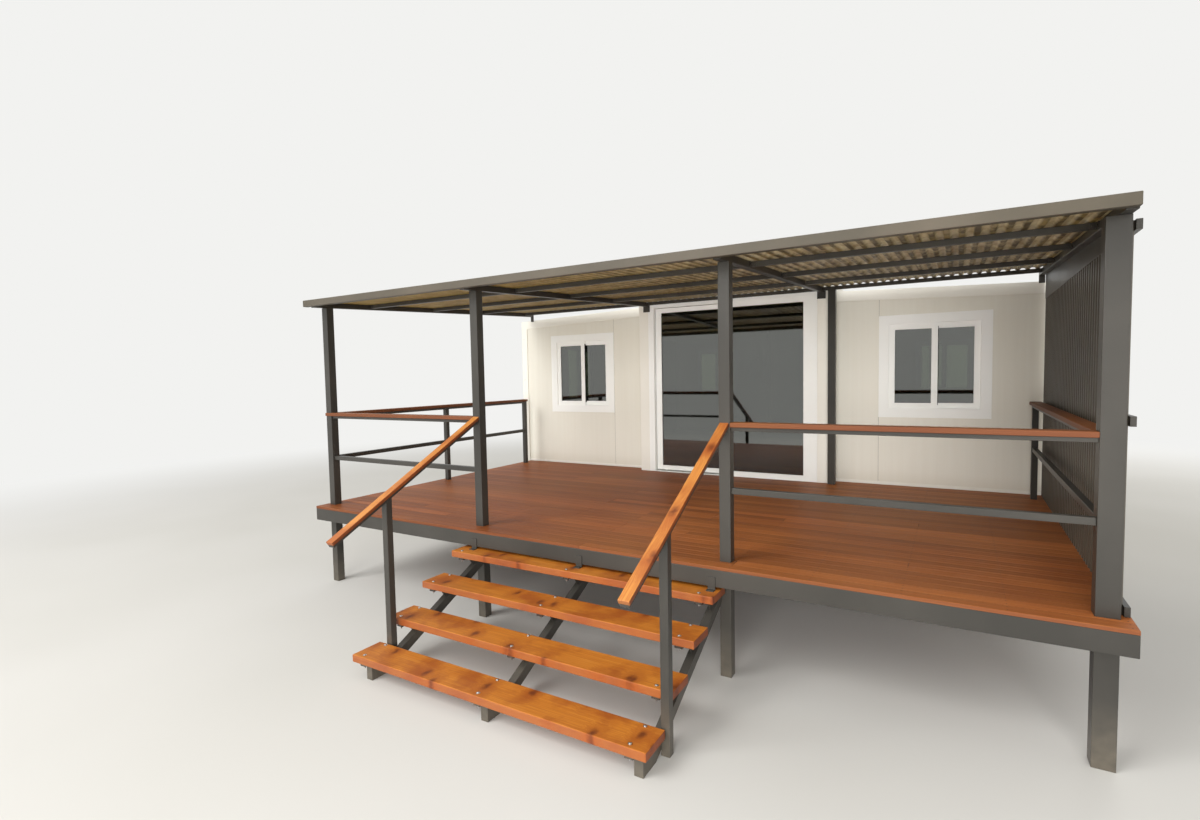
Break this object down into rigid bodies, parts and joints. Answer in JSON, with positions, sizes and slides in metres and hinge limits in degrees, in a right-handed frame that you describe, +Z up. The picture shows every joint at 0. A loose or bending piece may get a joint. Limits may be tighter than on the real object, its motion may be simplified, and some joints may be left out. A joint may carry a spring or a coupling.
{
  "type": "container cabin with verandah",
  "caption": "Fold-out container cabin with two side wings, a sliding glass door, a roofed front verandah on steel posts, rails and an open timber stair.",
  "frame": {"origin": "on the ground under the middle of the whole object's box, stair included", "axes": "+Z up, +X to the right as seen from the front, +Y from the stair towards the back of the cabin"},
  "size_m": [6.324, 10.436, 2.97],
  "materials": {
    "white_paint": "satin cream white",
    "wall_panel": "satin cream white insulated panel",
    "white_frame": "satin white",
    "floor_panel": "matt",
    "glass": "clear",
    "decking": "oiled red-brown hardwood",
    "tread_timber": "oiled orange-brown softwood",
    "charcoal_steel": "satin charcoal",
    "bronze_sheet": "translucent bronze",
    "galvanised_steel": "galvanised"
  },
  "bodies": {
    "cabin": {"cabin_stumps": "galvanised_steel", "cabin_long_beams": "white_paint", "cabin_cross_beams": "white_paint", "cabin_floor": "floor_panel", "centre_columns": "white_paint", "centre_roof_beams": "white_paint", "centre_roof": "white_paint", "left_front_wall": "wall_panel", "right_front_wall": "wall_panel", "left_side_wall": "wall_panel", "right_side_wall": "wall_panel", "back_walls": "wall_panel", "wing_corner_trims": "white_paint", "wing_top_channels": "white_paint", "left_wing_roof": "wall_panel", "right_wing_roof": "wall_panel", "front_windows": "white_frame", "front_window_glass": "glass", "rear_windows": "white_frame", "rear_window_glass": "glass", "door_jambs": "white_frame", "door_head_and_sill": "white_frame", "fixed_door_panel": "white_frame", "fixed_door_glass": "glass", "deck_boards": "decking", "deck_bearers": "charcoal_steel", "deck_joists": "charcoal_steel", "deck_legs": "charcoal_steel", "verandah_posts": "charcoal_steel", "front_beam": "charcoal_steel", "rafters": "charcoal_steel", "purlins": "charcoal_steel", "roof_sheets": "bronze_sheet", "screen_rails": "charcoal_steel", "screen_sheet": "charcoal_steel", "rail_posts": "charcoal_steel", "steel_rails": "charcoal_steel", "front_rail_caps": "decking", "side_rail_caps": "decking", "stair_treads": "tread_timber", "stair_stringers": "charcoal_steel", "stair_newels": "charcoal_steel", "handrails": "tread_timber"},
    "sliding_door": {"sliding_door_panel": "white_frame", "sliding_door_glass": "glass"}
  },
  "joints": [
    {"name": "door_slide", "type": "slide", "parent": "cabin", "child": "sliding_door", "axis": [1, 0, 0], "range_m": [0, 0.86]}
  ]
}
